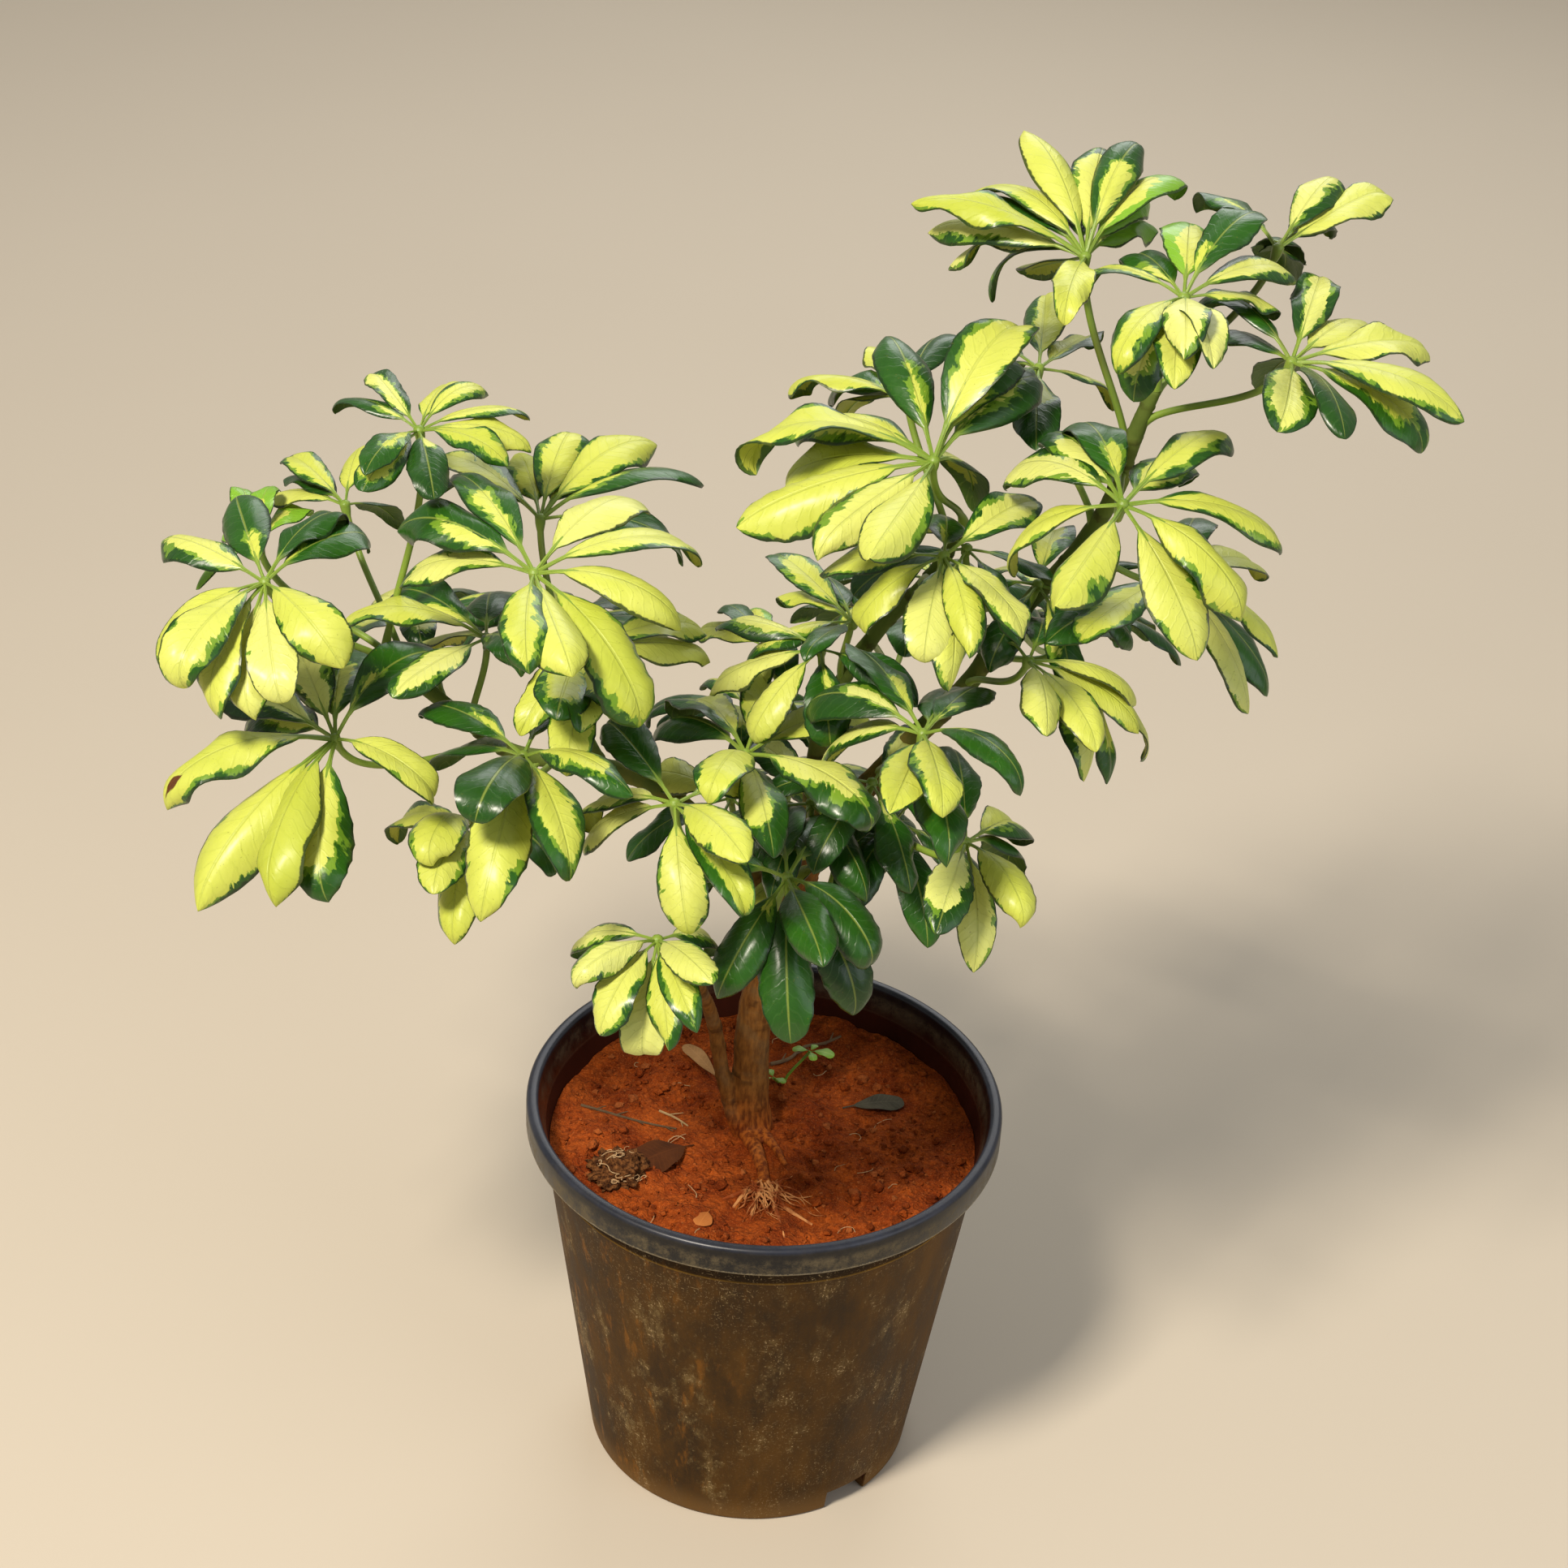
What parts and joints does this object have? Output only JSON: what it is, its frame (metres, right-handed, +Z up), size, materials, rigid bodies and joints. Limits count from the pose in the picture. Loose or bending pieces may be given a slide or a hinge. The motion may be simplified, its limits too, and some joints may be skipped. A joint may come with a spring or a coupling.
{
  "type": "potted umbrella plant",
  "caption": "Young variegated umbrella tree with yellow and green palmate leaves on forked woody branches, rooted in red earth in a black plastic nursery pot.",
  "frame": {"origin": "centre of the pot's flat underside", "axes": "+Z up along the pot's axis, -Y towards the front of the plant as it is seen in the picture, +X to the right"},
  "size_m": [0.6035, 0.4083, 0.7238],
  "materials": {
    "pot": "satin",
    "earth": "matte",
    "bark": "matte",
    "leaf_lemon": "satin",
    "leaf_mixed": "satin",
    "leaf_dark": "satin",
    "seedling": "satin",
    "litter": "matte",
    "clod": "matte"
  },
  "bodies": {
    "root": {"pot": "pot", "earth": "earth", "trunk": "bark", "leaf_01": "leaf_lemon", "leaf_02": "leaf_lemon", "leaf_03": "leaf_dark", "leaf_04": "leaf_lemon", "leaf_05": "leaf_lemon", "leaf_06": "leaf_mixed", "leaf_07": "leaf_lemon", "leaf_08": "leaf_mixed", "leaf_09": "leaf_lemon", "leaf_10": "leaf_dark", "leaf_11": "leaf_lemon", "leaf_12": "leaf_lemon", "leaf_13": "leaf_lemon", "leaf_14": "leaf_mixed", "leaf_15": "leaf_lemon", "leaf_16": "leaf_lemon", "leaf_17": "leaf_dark", "leaf_18": "leaf_lemon", "leaf_19": "leaf_dark", "leaf_20": "leaf_mixed", "leaf_21": "leaf_lemon", "leaf_22": "leaf_lemon", "leaf_23": "leaf_lemon", "leaf_24": "leaf_lemon", "leaf_25": "leaf_lemon", "leaf_26": "leaf_lemon", "leaf_27": "leaf_mixed", "leaf_28": "leaf_dark", "leaf_29": "leaf_dark", "leaf_30": "leaf_dark", "leaf_31": "leaf_lemon", "leaf_32": "leaf_lemon", "leaf_33": "leaf_dark", "leaf_34": "leaf_dark", "leaf_35": "leaf_dark", "leaf_36": "leaf_dark", "leaf_37": "leaf_dark", "leaf_38": "leaf_dark", "leaf_39": "leaf_dark", "seedling": "seedling", "clod": "clod", "fallen_leaf_brown": "litter", "fallen_leaf_grey": "litter", "fallen_leaf_tan": "litter", "fallen_scrap": "litter", "twig_back": "litter", "twig_long": "litter", "twig_short": "litter"}
  },
  "joints": []
}
